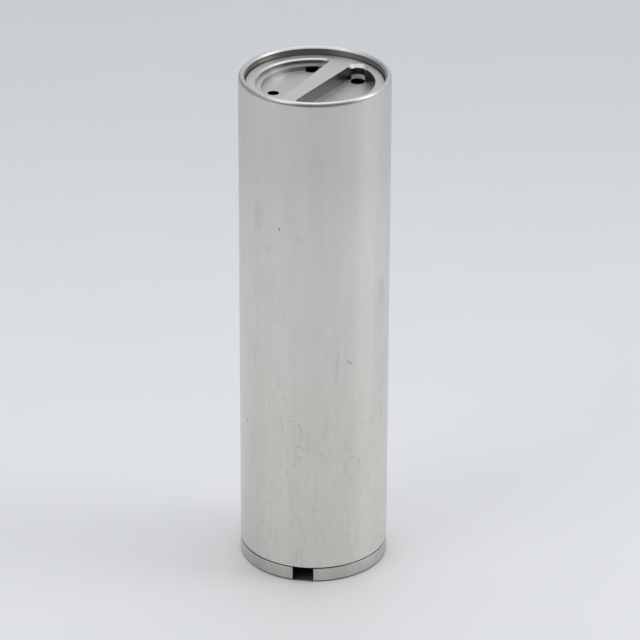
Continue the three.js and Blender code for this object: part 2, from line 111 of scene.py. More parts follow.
def make_camera():
    forward = Vector((0, math.cos(CAMERA_PITCH), -math.sin(CAMERA_PITCH)))
    level = Vector((1, 0, 0))
    upright = Vector((0, math.sin(CAMERA_PITCH), math.cos(CAMERA_PITCH)))
    right = math.cos(CAMERA_ROLL) * level + math.sin(CAMERA_ROLL) * upright
    up = math.cos(CAMERA_ROLL) * upright - math.sin(CAMERA_ROLL) * level
    place = (-CAMERA_AWAY * forward + CAMERA_ASIDE * level + CAMERA_ABOVE * upright) * MM
    data = bpy.data.cameras.new("camera")
    data.lens = LENS
    data.sensor_width = 36
    data.clip_start = 0.05
    data.clip_end = 20
    camera = bpy.data.objects.new("camera", data)
    turn = Matrix((right, up, -forward)).transposed().to_4x4()
    camera.matrix_world = Matrix.Translation(place) @ turn
    bpy.context.scene.collection.objects.link(camera)
    bpy.context.scene.camera = camera


# Node helpers


class Nodes:
    """A material's or the world's node tree, with short names for what this script uses."""

    def __init__(self, owner):
        owner.use_nodes = True
        self.tree = owner.node_tree
        self.tree.nodes.clear()

    def node(self, kind, **settings):
        made = self.tree.nodes.new(kind)
        for name, value in settings.items():
            setattr(made, name, value)
        return made

    def put(self, socket, value):
        if isinstance(value, bpy.types.NodeSocket):
            self.tree.links.new(value, socket)
        else:
            socket.default_value = value

    def math(self, operation, *values):
        made = self.node("ShaderNodeMath", operation=operation)
        for socket, value in zip(made.inputs, values):
            self.put(socket, value)
        return made.outputs[0]

    def position(self):
        """The point on the piece in millimetres, as x, y and z sockets."""
        coordinate = self.node("ShaderNodeTexCoord")
        scaled = self.node("ShaderNodeVectorMath", operation="SCALE")
        self.put(scaled.inputs[0], coordinate.outputs["Object"])
        self.put(scaled.inputs["Scale"], 1 / MM)
        split = self.node("ShaderNodeSeparateXYZ")
        self.put(split.inputs[0], scaled.outputs[0])
        return split.outputs[0], split.outputs[1], split.outputs[2]

    def noise(self, x, y, z, detail=3.0, roughness=0.5):
        point = self.node("ShaderNodeCombineXYZ")
        for socket, value in zip(point.inputs, (x, y, z)):
            self.put(socket, value)
        made = self.node("ShaderNodeTexNoise")
        self.put(made.inputs["Vector"], point.outputs[0])
        self.put(made.inputs["Scale"], 1.0)
        self.put(made.inputs["Detail"], detail)
        self.put(made.inputs["Roughness"], roughness)
        return made.outputs[0]

    def ramp(self, value, low, high, to_low=0.0, to_high=1.0):
        """value from low..high to to_low..to_high, smoothly and no further."""
        made = self.node("ShaderNodeMapRange", interpolation_type="SMOOTHSTEP")
        for name, setting in (("Value", value), ("From Min", low), ("From Max", high),
                              ("To Min", to_low), ("To Max", to_high)):
            self.put(made.inputs[name], setting)
        return made.outputs[0]

    def toward(self, x, y, degrees):
        """How far a point lies from the axis in one direction."""
        turn = math.radians(degrees)
        return self.math("ADD", self.math("MULTIPLY", x, math.cos(turn)),
                         self.math("MULTIPLY", y, math.sin(turn)))

    def radius(self, x, y):
        return self.math("SQRT", self.math("ADD", self.math("MULTIPLY", x, x),
                                           self.math("MULTIPLY", y, y)))

    def mix(self, share, a, b):
        made = self.node("ShaderNodeMix", data_type="RGBA")
        self.put(made.inputs["Factor"], share)
        self.put(made.inputs["A"], a)
        self.put(made.inputs["B"], b)
        return made.outputs["Result"]

    def bump(self, height, distance):
        made = self.node("ShaderNodeBump")
        self.put(made.inputs["Height"], height)
        self.put(made.inputs["Distance"], distance * MM)
        self.put(made.inputs["Strength"], 1.0)
        return made.outputs[0]

    def surface(self, **inputs):
        shader = self.node("ShaderNodeBsdfPrincipled")
        for name, value in inputs.items():
            self.put(shader.inputs[name.replace("_", " ")], value)
        output = self.node("ShaderNodeOutputMaterial")
        self.put(output.inputs["Surface"], shader.outputs[0])


def color(r, g, b):
    return (r, g, b, 1.0)


# Studio

FLOOR_COLOR = color(0.865, 0.873, 0.886)
# The far floor's colour is painted shade.
FLOOR_FAR_SHADE = color(0.690, 0.718, 0.740)
SLOT_SHADE = color(0.10, 0.10, 0.105)
BACK_LIGHT = color(0.64, 0.66, 0.685)
OVERHEAD_LIGHT = color(0.90, 0.91, 0.925)
FRONT_SHADE = color(0.035, 0.033, 0.031)
BACKDROP = color(0.72, 0.75, 0.78)


def make_world():
    """A pale room with bright panels overhead and shade low down in front of the object."""
    world = bpy.data.worlds.new("studio")
    bpy.context.scene.world = world
    nodes = Nodes(world)
    split = nodes.node("ShaderNodeSeparateXYZ")
    nodes.put(split.inputs[0], nodes.node("ShaderNodeTexCoord").outputs["Generated"])
    x, y, z = split.outputs
    light = nodes.mix(nodes.ramp(z, 0.6, 0.9), BACK_LIGHT, OVERHEAD_LIGHT)
    at_left = nodes.math("MULTIPLY", nodes.ramp(x, -0.15, -0.75), nodes.ramp(z, 0.75, 0.45, 0.0, 0.6))
    light = nodes.mix(at_left, light, FRONT_SHADE)
    in_front = nodes.math("MULTIPLY", nodes.ramp(y, 0.05, -0.45), nodes.ramp(z, 0.78, 0.56))
    light = nodes.mix(in_front, light, FRONT_SHADE)
    seen = nodes.node("ShaderNodeLightPath").outputs["Is Camera Ray"]
    background = nodes.node("ShaderNodeBackground")
    nodes.put(background.inputs["Color"], nodes.mix(seen, light, BACKDROP))
    output = nodes.node("ShaderNodeOutputWorld")
    nodes.put(output.inputs["Surface"], background.outputs[0])


def area_light(name, place, aim, size, power):
    data = bpy.data.lights.new(name, "AREA")
    data.shape = "RECTANGLE"
    data.size, data.size_y = size
    data.energy = power
    light = bpy.data.objects.new(name, data)
    light.location = place
    light.rotation_mode = "QUATERNION"
    light.rotation_quaternion = (Vector(aim) - Vector(place)).to_track_quat("-Z", "Y")
    bpy.context.scene.collection.objects.link(light)


def painted_slot_shadow(nodes, x, y):
    """Where a shadow is painted on the floor deep under the base slot."""
    outward = nodes.toward(x, y, SLOT_TURN)
    sideways = nodes.math("ABSOLUTE", nodes.toward(x, y, SLOT_TURN + 90))
    inside = nodes.math("MULTIPLY", nodes.ramp(outward, OUTER_R, OUTER_R - 1.0),
                        nodes.ramp(sideways, SLOT_WIDTH / 2 + 0.05, SLOT_WIDTH / 2 - 0.05))
    return nodes.math("MULTIPLY", inside, nodes.ramp(outward, FOOT_R - 1.1, FOOT_R - 0.6))


def make_floor():
    half = 3.0
    mesh = bpy.data.meshes.new("floor")
    mesh.from_pydata([(-half, -half, 0), (half, -half, 0), (half, half, 0), (-half, half, 0)], [],
                     [(0, 1, 2, 3)])
    floor = bpy.data.objects.new("floor", mesh)
    bpy.context.scene.collection.objects.link(floor)
    material = bpy.data.materials.new("floor_paper")
    nodes = Nodes(material)
    x, y, z = nodes.position()
    grain = nodes.noise(nodes.math("MULTIPLY", x, 0.02), nodes.math("MULTIPLY", y, 0.02), z)
    # The floor is painted darker further back, painted shade for the light falling off, with a faint grain.
    away = nodes.math("ADD", nodes.ramp(y, -20.0, 420.0), nodes.ramp(grain, 0.3, 0.7, -0.02, 0.02))
    shade = nodes.mix(away, FLOOR_COLOR, FLOOR_FAR_SHADE)
    # A painted shadow on the floor under the base slot.
    shade = nodes.mix(painted_slot_shadow(nodes, x, y), shade, SLOT_SHADE)
    nodes.surface(Base_Color=shade, Roughness=0.45, Specular_IOR_Level=0.35)
    mesh.materials.append(material)


make_camera()
make_world()
make_floor()
area_light("overhead", (0.0, 0.1, 1.4), (0, 0, 0.05), (1.2, 1.0), 2.5)
area_light("from_right", (1.4, -0.1, 0.9), (0, 0, 0.07), (0.7, 1.0), 5)
area_light("from_left", (-1.2, -0.8, 1.1), (0, 0, 0), (1.0, 0.8), 4.5)

# Mesh helpers


def arc(x, y, radius, start, end, steps):
    """Points on an arc, angles in degrees, both ends included."""
    turns = [math.radians(start + (end - start) * k / steps) for k in range(steps + 1)]
    return [(x + radius * math.cos(a), y + radius * math.sin(a)) for a in turns]


def softened(points, size, steps=3):
    """An open outline with each inner corner rounded off by about size."""
    out = [points[0]]
    for before, here, after in zip(points, points[1:], points[2:]):
        a, b, c = Vector(before), Vector(here), Vector(after)
        reach = min(size, (b - a).length * 0.45, (c - b).length * 0.45)
        start = b + (a - b).normalized() * reach
        end = b + (c - b).normalized() * reach
        for k in range(steps + 1):
            t = k / steps
            point = start * (1 - t) ** 2 + b * 2 * t * (1 - t) + end * t ** 2
            out.append(tuple(point))
    return out + [points[-1]]


def softened_ring(points, size, steps=3):
    """The same for an outline that closes on itself."""
    wrapped = softened([points[-1], *points, points[0]], size, steps)
    return wrapped[1:-1]


def new_object(name, mesh):
    piece = bpy.data.objects.new(name, mesh)
    bpy.context.scene.collection.objects.link(piece)
    return piece


def mesh_from(name, vertices, faces):
    mesh = bpy.data.meshes.new(name)
    mesh.from_pydata([tuple(c * MM for c in v) for v in vertices], [], faces)
    edit = bmesh.new()
    edit.from_mesh(mesh)
    bmesh.ops.remove_doubles(edit, verts=edit.verts, dist=1e-7)
    bmesh.ops.recalc_face_normals(edit, faces=edit.faces)
    edit.to_mesh(mesh)
    edit.free()
    return new_object(name, mesh)


def lathe(name, profile, facets=192, at=(0, 0)):
    """A solid of revolution from (radius, z) points, which start and end on the axis or close."""
    closes = profile[0][0] > 1e-6
    rows = len(profile)
    vertices = []
    for k in range(facets):
        a = 2 * math.pi * k / facets
        vertices += [(at[0] + r * math.cos(a), at[1] + r * math.sin(a), z) for r, z in profile]
    faces = []
    for k in range(facets):
        here, there = k * rows, (k + 1) % facets * rows
        for i in range(rows if closes else rows - 1):
            j = (i + 1) % rows
            faces.append((here + i, there + i, there + j, here + j))
    return mesh_from(name, vertices, faces)


def loft(name, loops, place=Matrix.Identity(4)):
    """A solid through closed loops of as many points each, capped at both ends."""
    count = len(loops[0])
    vertices = [tuple(place @ Vector(p)) for loop in loops for p in loop]
    faces = []
    for level in range(len(loops) - 1):
        low = level * count
        for i in range(count):
            j = (i + 1) % count
            faces.append((low + i, low + j, low + count + j, low + count + i))
    faces.append(tuple(reversed(range(count))))
    faces.append(tuple(range((len(loops) - 1) * count, len(loops) * count)))
    return mesh_from(name, vertices, faces)


def combined(piece, operation, *tools):
    """piece after a boolean with each tool; the tools are used up."""
    for tool in tools:
        step = piece.modifiers.new("boolean", "BOOLEAN")
        step.operation = operation
        step.solver = "EXACT"
        step.object = tool
        evaluated = piece.evaluated_get(bpy.context.evaluated_depsgraph_get())
        mesh = bpy.data.meshes.new_from_object(evaluated)
        piece.modifiers.clear()
        old = piece.data
        piece.data = mesh
        mesh.name = old.name
        bpy.data.meshes.remove(old)
        bpy.data.objects.remove(tool)
    return piece


def cut(piece, *tools):
    return combined(piece, "DIFFERENCE", *tools)


def joined(piece, *others):
    return combined(piece, "UNION", *others)


def rounded_box(name, size, middle, turn=0.0, corner_r=0.0, steps=4):
    """A box whose upright edges are rounded by corner_r."""
    x, y = size[0] / 2, size[1] / 2
    r = max(corner_r, 1e-3)
    outline = []
    for cx, cy, start in ((x - r, y - r, 0), (r - x, y - r, 90), (r - x, r - y, 180), (x - r, r - y, 270)):
        outline += arc(cx, cy, r, start, start + 90, steps)
    place = Matrix.Rotation(turn, 4, "Z") @ Matrix.Translation(middle)
    low, high = -size[2] / 2, size[2] / 2
    return loft(name, [[(px, py, z) for px, py in outline] for z in (low, high)], place)


def settle(piece, node, body, material, crease=30):
    """Sharp edges and clean shading, then the piece's material and its place in the assembly."""
    piece.name = node + "_shape"
    mesh = piece.data
    mesh.materials.clear()
    mesh.materials.append(material)
    mesh.polygons.foreach_set("use_smooth", [True] * len(mesh.polygons))
    mesh.set_sharp_from_angle(angle=math.radians(crease))
    weighted = piece.modifiers.new("weighted_normals", "WEIGHTED_NORMAL")
    weighted.keep_sharp = True
    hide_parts(node)
    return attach(piece, body)


# Materials


def scaled_noise(nodes, point, sx, sy, sz, detail=3.0, roughness=0.5):
    x, y, z = (nodes.math("MULTIPLY", value, s) for value, s in zip(point, (sx, sy, sz)))
    return nodes.noise(x, y, z, detail, roughness)


def dial_painted_walls(nodes, point, shade, rough):
    """Painted shade on the dial's pocket walls and drilled corner, painted light where the walls face +x
    and on the left flank below the ledge, and a painted highlight band in the sunk hole; the walls are
    also smoother than the faces. Gives the shade, the roughness and how metallic it is, as every
    function given to metal() as walls does."""
    x, y, z = point
    split = nodes.node("ShaderNodeSeparateXYZ")
    nodes.put(split.inputs[0], nodes.node("ShaderNodeNewGeometry").outputs["Normal"])
    upright = nodes.ramp(nodes.math("ABSOLUTE", split.outputs[2]), 0.7, 0.25)
    turn, offset = BAR_LEFT
    across = nodes.toward(x, y, turn)
    ledge = DIAL_TOP - LEDGE_DEPTH
    under_ledge = nodes.math("MULTIPLY", nodes.ramp(across, offset - 0.2, offset),
                             nodes.ramp(z, ledge + 0.05, ledge - 0.05))
    # Painted light: the walls that face +x, and the left flank below the ledge, are painted a lighter grey.
    bright = nodes.math("MAXIMUM", nodes.ramp(split.outputs[0], 0.8, 1.0),
                        nodes.math("MULTIPLY", under_ledge, nodes.ramp(x, 2.0, -10.0)))
    painted_wall = nodes.mix(bright, color(0.24, 0.235, 0.225), color(0.44, 0.435, 0.42))
    left_floor = DIAL_TOP - LEFT_DEPTH
    # Painted shade, near black, down in the drilled corner below the left pocket's floor.
    drilled = nodes.math("MULTIPLY", nodes.ramp(z, left_floor, left_floor - 0.1),
                         nodes.ramp(across, offset, offset + 0.2))
    painted_wall = nodes.mix(drilled, painted_wall, color(0.05, 0.048, 0.046))
    # Painted shade, near black, down the sunk hole's sides, with a painted highlight band just above the
    # right pocket's floor; the band is made less metallic so its painted colour shows.
    hole_x, hole_y, hole_r = SUNK_HOLE
    from_hole = nodes.radius(nodes.math("SUBTRACT", x, hole_x), nodes.math("SUBTRACT", y, hole_y))
    at_hole = nodes.ramp(from_hole, hole_r + 0.1, hole_r + 0.02)
    floor = DIAL_TOP - RIGHT_DEPTH
    painted_glint = nodes.math("MULTIPLY", nodes.ramp(z, floor, floor + 0.1), nodes.ramp(z, floor + 1.5, floor + 1.1))
    painted_hole_light = nodes.mix(painted_glint, color(0.09, 0.088, 0.086), color(0.95, 0.94, 0.92))
    painted_wall = nodes.mix(at_hole, painted_wall, painted_hole_light)
    # Upright faces take the painted shade and light; flat faces keep the steel's own shade.
    shade = nodes.mix(upright, shade, painted_wall)
    rough = nodes.math("MULTIPLY", rough, nodes.ramp(upright, 0.0, 1.0, 1.0, 0.7))
    painted_glint_diffuse = nodes.math("MULTIPLY", nodes.math("MULTIPLY", painted_glint, at_hole), upright)
    return shade, rough, nodes.math("SUBTRACT", 1.0, painted_glint_diffuse)


def metal(name, tone, roughness, grain="upright", depth=0.004, wear=0.03, tint=None, walls=None):
    """Worked metal. grain is the way that its fine lines run: upright, round or face. walls, when it
    is given, paints light and shade onto some of the piece's surfaces."""
    material = bpy.data.materials.new(name)
    nodes = Nodes(material)
    point = nodes.position()
    x, y, z = point
    across, along = 9.0, 0.12
    if grain == "upright":
        lines = scaled_noise(nodes, point, across, across, along, detail=4)
    elif grain == "round":
        lines = scaled_noise(nodes, point, along, along, across, detail=4)
    else:
        radius = nodes.radius(x, y)
        lines = scaled_noise(nodes, (radius, x, z), across, along, across, detail=4)
    patches = scaled_noise(nodes, point, 0.11, 0.11, 0.05, detail=4, roughness=0.6)
    light = color(*tone)
    dark = color(*(c * (1 - 3 * wear) for c in tone))
    shade = nodes.mix(nodes.ramp(patches, 0.3, 0.7), dark, light)
    shade = nodes.mix(nodes.ramp(lines, 0.25, 0.75, 0.0, 0.25), shade, dark)
    if tint:
        spots = scaled_noise(nodes, point, 0.4, 0.4, 0.4, detail=3)
        shade = nodes.mix(nodes.ramp(spots, 0.5, 0.75, 0.0, 0.5), shade, color(*tint))
    rough = nodes.math("ADD", nodes.ramp(patches, 0.3, 0.7, -0.04, 0.04),
                       nodes.ramp(lines, 0.2, 0.8, roughness - 0.03, roughness + 0.03))
    metallic = 1.0
    if walls:
        shade, rough, metallic = walls(nodes, point, shade, rough)
    nodes.surface(Base_Color=shade, Metallic=metallic, Roughness=rough, Normal=nodes.bump(lines, depth))
    return material


def ring_painted_shade(nodes, point, shade, rough):
    """The base ring's inside and its lower edge are painted dark: painted shade inside the ring and its slot,
    and a painted shadow along its foot.
    """
    x, y, z = point
    radius = nodes.radius(x, y)
    inside = nodes.ramp(radius, OUTER_R - 0.15, OUTER_R - 0.3)
    painted_foot_shadow = nodes.ramp(z, 0.42, 0.3)
    shade = nodes.mix(nodes.math("MAXIMUM", inside, painted_foot_shadow), shade, color(0.06, 0.058, 0.055))
    return shade, rough, 1.0


MARK_SEED = 7
LOOP_SEED = 11


def scattered_marks():
    """Small marks all round the sleeve, each as degrees round from the front, height, half length,
    half width, lean from upright in degrees, and how dark. Nicks are small and dark, streaks long
    and thin and low down, and smudges broad and faint and high up."""
    chance = random.Random(MARK_SEED)

    def scatter(count, heights, lengths, widths, lean, shades):
        return [(chance.uniform(-180, 180), chance.uniform(*heights), chance.uniform(*lengths),
                 chance.uniform(*widths), chance.uniform(-lean, lean), chance.uniform(*shades))
                for _ in range(count)]

    nicks = scatter(5, (30, 120), (0.5, 1.2), (0.3, 0.4), 60, (0.3, 0.6))
    streaks = scatter(12, (30, 70), (1.5, 6.0), (0.25, 0.4), 10, (0.10, 0.17))
    smudges = scatter(9, (80, 126), (1.0, 5.0), (0.9, 2.5), 5, (0.05, 0.10))
    return nicks + streaks + smudges


def worn_loops(count=4):
    """Faint loops low on the sleeve: degrees round from the front, height, half width, half height,
    and how dark."""
    chance = random.Random(LOOP_SEED)
    return [(chance.uniform(-180, 180), chance.uniform(28, 60), chance.uniform(1.9, 2.7),
             chance.uniform(1.7, 4.2), chance.uniform(0.12, 0.20)) for _ in range(count)]


def sleeve_steel():
    """Satin steel drawn lengthways, darker near the top in blotches, with fine scratches, a faint stain low
    in front darkened as painted shade, and painted shade on the rim's inner face above the dial.
    """
    material = bpy.data.materials.new("satin_steel")
    nodes = Nodes(material)
    point = nodes.position()
    x, y, z = point
    lines = scaled_noise(nodes, point, 7.0, 7.0, 0.05, detail=5, roughness=0.6)
    broad = scaled_noise(nodes, point, 0.42, 0.42, 0.012, detail=3)
    cloud = scaled_noise(nodes, point, 0.10, 0.10, 0.05, detail=5, roughness=0.6)
    blotches = scaled_noise(nodes, point, 0.9, 0.9, 0.28, detail=5, roughness=0.65)
    light, dark = color(0.770, 0.756, 0.722), color(0.705, 0.691, 0.660)
    shade = nodes.mix(nodes.ramp(cloud, 0.34, 0.66), dark, light)
    shade = nodes.mix(nodes.ramp(lines, 0.3, 0.7, 0.0, 0.4), shade, dark)
    shade = nodes.mix(nodes.ramp(broad, 0.45, 0.62, 0.0, 0.16), shade, color(0.82, 0.812, 0.79))

    low = nodes.math("MULTIPLY", nodes.ramp(z, 4.0, 12.0), nodes.ramp(z, 75.0, 35.0))
    front = nodes.ramp(y, -6.0, -16.0)
    # Darker near the top, in blotches.
    darker_near_top = nodes.math("MULTIPLY", nodes.ramp(z, 95.0, 125.0), nodes.ramp(blotches, 0.3, 0.6, 0.7, 1.0))
    shade = nodes.mix(nodes.math("MULTIPLY", darker_near_top, 0.4), shade, color(0.56, 0.552, 0.535))
    # A faint stain low in front, made darker there as painted shade low on the sleeve.
    stain_and_shade = nodes.math("MULTIPLY", nodes.math("MULTIPLY", low, front), nodes.ramp(blotches, 0.25, 0.75))
    shade = nodes.mix(nodes.math("MULTIPLY", stain_and_shade, 0.42), shade, color(0.66, 0.60, 0.48))

    around = nodes.math("MULTIPLY", nodes.math("ARCTAN2", x, nodes.math("MULTIPLY", y, -1.0)), OUTER_R)
    curls = scaled_noise(nodes, point, 0.55, 0.55, 0.30, detail=2)
    edge = nodes.ramp(nodes.math("ABSOLUTE", nodes.math("SUBTRACT", curls, 0.5)), 0.004, 0.016, 1.0, 0.0)
    where = nodes.ramp(scaled_noise(nodes, point, 0.22, 0.22, 0.09, detail=2), 0.52, 0.60)
    lower = nodes.ramp(z, 85.0, 45.0, 0.35, 1.0)
    left_of_front = nodes.ramp(nodes.math("ABSOLUTE", nodes.math("ADD", around, 5.0)), 4.0, 13.0, 1.0, 0.4)
    scuffs = nodes.math("MULTIPLY", nodes.math("MULTIPLY", edge, where),
                        nodes.math("MULTIPLY", lower, left_of_front))
    darkness = nodes.math("MULTIPLY", scuffs, 0.26)
    speck = scaled_noise(nodes, point, 1.6, 1.6, 0.9, detail=1)
    darkness = nodes.math("MAXIMUM", darkness, nodes.ramp(speck, 0.76, 0.82, 0.0, 0.3))
    for turn, height, long, wide, lean, dark_by in scattered_marks():
        du = nodes.math("SUBTRACT", around, math.radians(turn) * OUTER_R)
        dz = nodes.math("SUBTRACT", z, height)
        c, s = math.cos(math.radians(lean)), math.sin(math.radians(lean))
        along = nodes.math("ADD", nodes.math("MULTIPLY", du, -s / long), nodes.math("MULTIPLY", dz, c / long))
        over = nodes.math("ADD", nodes.math("MULTIPLY", du, c / wide), nodes.math("MULTIPLY", dz, s / wide))
        away = nodes.math("ADD", nodes.math("MULTIPLY", along, along), nodes.math("MULTIPLY", over, over))
        mark = nodes.ramp(away, 0.1, 1.4, dark_by, 0.0)
        darkness = nodes.math("MAXIMUM", darkness, mark)
    for turn, height, wide, tall, dark_by in worn_loops():
        du = nodes.math("MULTIPLY", nodes.math("SUBTRACT", around, math.radians(turn) * OUTER_R), 1 / wide)
        dz = nodes.math("MULTIPLY", nodes.math("SUBTRACT", z, height), 1 / tall)
        away = nodes.radius(du, dz)
        line = nodes.ramp(nodes.math("ABSOLUTE", nodes.math("SUBTRACT", away, 1.0)), 0.03, 0.14, dark_by, 0.0)
        broken = nodes.math("MULTIPLY", nodes.ramp(blotches, 0.42, 0.52), nodes.ramp(dz, -0.9, 0.1, 0.2, 1.0))
        darkness = nodes.math("MAXIMUM", darkness, nodes.math("MULTIPLY", line, broken))
    shade = nodes.mix(darkness, shade, color(0.05, 0.047, 0.045))
    # Painted shade on the rim's inner face above the dial.
    inside = nodes.math("MULTIPLY", nodes.ramp(nodes.radius(x, y), RIM_R + 0.12, RIM_R + 0.03),
                        nodes.ramp(z, DIAL_TOP - 0.5, DIAL_TOP))
    shade = nodes.mix(inside, shade, color(0.22, 0.215, 0.21))
    rough = nodes.math("ADD", nodes.ramp(cloud, 0.3, 0.7, -0.03, 0.05),
                       nodes.ramp(lines, 0.2, 0.8, 0.33, 0.40))
    nodes.surface(Base_Color=shade, Metallic=1.0, Roughness=rough, Normal=nodes.bump(lines, 0.004))
    return material


def plastic(name, tone, roughness, mottle, depth):
    material = bpy.data.materials.new(name)
    nodes = Nodes(material)
    point = nodes.position()
    fine = scaled_noise(nodes, point, mottle, mottle, mottle, detail=4)
    broad = scaled_noise(nodes, point, 0.3, 0.3, 0.3)
    shade = nodes.mix(nodes.ramp(broad, 0.3, 0.7), color(*tone), color(*(c * 1.5 for c in tone)))
    rough = nodes.ramp(fine, 0.3, 0.7, roughness - 0.06, roughness + 0.06)
    nodes.surface(Base_Color=shade, Roughness=rough, Normal=nodes.bump(fine, depth))
    return material


SATIN = sleeve_steel()
DRAWN = metal("drawn_steel", (0.64, 0.635, 0.62), 0.36)
# The dial's steel, with painted shade and painted light on its upright walls.
FACED = metal("faced_steel", (0.70, 0.70, 0.69), 0.46, grain="face", depth=0.001, wear=0.015,
              walls=dial_painted_walls)
# The base ring's steel, with painted shade inside it and a painted shadow along its foot.
BASE = metal("base_steel", (0.66, 0.645, 0.61), 0.36, grain="round", depth=0.014, wear=0.07,
             walls=ring_painted_shade)
TURNED = metal("turned_steel", (0.58, 0.58, 0.57), 0.32, grain="round", depth=0.006)
SCREW = metal("screw_steel", (0.60, 0.60, 0.60), 0.28, grain="face", depth=0.003)
SPRING = metal("spring_steel", (0.46, 0.465, 0.47), 0.26, grain="round", depth=0.002, wear=0.05)
BRASS = metal("wheel_brass", (0.72, 0.55, 0.28), 0.30, grain="face", depth=0.006, wear=0.05,
              tint=(0.60, 0.42, 0.22))
ACETAL = plastic("foot_acetal", (0.012, 0.012, 0.013), 0.5, 3.0, 0.01)
RUBBER = plastic("seal_rubber", (0.010, 0.010, 0.010), 0.8, 6.0, 0.02)

# Solids that several pieces share


def polar(radius, degrees):
    a = math.radians(degrees)
    return (radius * math.cos(a), radius * math.sin(a))


def closed_profile(points, edge, steps=3):
    """Rounds a turned part's corners: a ring closes on itself, a solid one ends on the axis."""
    if points[0][0] > 1e-6:
        return softened_ring(points, edge, steps)
    return softened(points, edge, steps)


def turned(name, points, edge=0.15, facets=128, at=(0, 0)):
    return lathe(name, closed_profile(points, edge), facets, at)


def rod(name, radius, low, high, edge=0.0, facets=32, at=(0, 0)):
    points = [(0, low), (radius, low), (radius, high), (0, high)]
    if edge:
        points = softened(points, edge)
    return lathe(name, points, facets, at)


def prism(name, outline, low, high, edge=0.0):
    """An outline raised from low to high, with its two flat faces' rims broken by edge."""
    if not edge:
        return loft(name, [[(x, y, z) for x, y in outline] for z in (low, high)])
    inner = shrunk(outline, edge)
    levels = [(inner, low), (outline, low + edge), (outline, high - edge), (inner, high)]
    return loft(name, [[(x, y, z) for x, y in points] for points, z in levels])


def shrunk(outline, amount):
    """A counter-clockwise outline drawn in by amount."""
    out = []
    for before, here, after in zip(outline[-1:] + outline[:-1], outline, outline[1:] + outline[:1]):
        a = (Vector(here) - Vector(before)).normalized()
        b = (Vector(after) - Vector(here)).normalized()
        inward = Vector((-a.y, a.x)) + Vector((-b.y, b.x))
        square = max(inward.length_squared, 0.5)
        point = Vector(here) + inward * (2 * amount / square)
        out.append(tuple(point))
    return out


def sector_outline(r0, r1, start, end, tip=0.0, step=3.0):
    """Part of a flat ring between two angles, with ends rounded by tip."""
    steps = max(4, round((end - start) / step))
    outer = arc(0, 0, r1, start, end, steps)
    inner = arc(0, 0, r0, end, start, steps)
    points = outer + inner
    if tip:
        points = softened_ring(points, tip, 3)
    return points


def sector(name, r0, r1, start, end, low, high, edge=0.0, tip=0.0, step=3.0):
    return prism(name, sector_outline(r0, r1, start, end, tip, step), low, high, edge)


def box(name, x0, x1, y0, y1, z0, z1, turn=0.0, corner_r=0.0):
    size = (x1 - x0, y1 - y0, z1 - z0)
    return rounded_box(name, size, ((x0 + x1) / 2, (y0 + y1) / 2, (z0 + z1) / 2), turn, corner_r)


def hexagon(across_flats, turn=0.0):
    r = across_flats / math.sqrt(3)
    return [polar(r, turn + 60 * k) for k in range(6)]


def at_place(outline, at):
    return [(x + at[0], y + at[1]) for x, y in outline]


def screw(name, shank_r, head_r, tip, seat, head, at, key):
    """A cap screw with a hex socket; it hangs head down when head is below seat."""
    up = 1 if head > seat else -1
    edge = 0.18 * head_r
    points = [(0, tip), (shank_r - 0.2, tip), (shank_r, tip + 0.3 * up)]
    points += [(shank_r, seat - 0.25 * up), (shank_r, seat)]
    points += softened([(shank_r, seat), (head_r, seat), (head_r, head), (0, head)], edge)[1:]
    body = lathe(name, points, 40, at)
    depth = 0.6 * abs(head - seat)
    low, high = sorted((head - depth * up, head + up))
    socket = prism("cutter", at_place(hexagon(key), at), low, high)
    return cut(body, socket)


def coil(name, radius, wire, low, high, turns, at):
    """A compression spring, wound at one even pitch."""
    sides, steps = 10, 24 * turns
    vertices, faces = [], []
    for k in range(steps + 1):
        t = k / steps
        a = 2 * math.pi * turns * t
        z = low + wire + (high - low - 2 * wire) * t
        out = Vector((math.cos(a), math.sin(a), 0))
        for j in range(sides):
            b = 2 * math.pi * j / sides
            p = out * (radius + wire * math.cos(b)) + Vector((at[0], at[1], z + wire * math.sin(b)))
            vertices.append(tuple(p))
    for k in range(steps):
        for j in range(sides):
            i = (j + 1) % sides
            faces.append((k * sides + j, k * sides + i, (k + 1) * sides + i, (k + 1) * sides + j))
    faces.append(tuple(reversed(range(sides))))
    faces.append(tuple(range(steps * sides, (steps + 1) * sides)))
    return mesh_from(name, vertices, faces)


def ball(name, radius, middle, at):
    points = [(x, y) for x, y in arc(0, middle, radius, -90, 90, 24)]
    points[0], points[-1] = (0, middle - radius), (0, middle + radius)
    return lathe(name, points, 48, at)


# Sleeve and what is fixed in it

LUG_TURNS = (90, 210, 330)
KEY_HALF, KEY_IN, KEY_OUT = 1.5, 15.3, 17.7
KEY_LOW, KEY_HIGH = corner("guide_key", 0, 2), corner("guide_key", 1, 2)


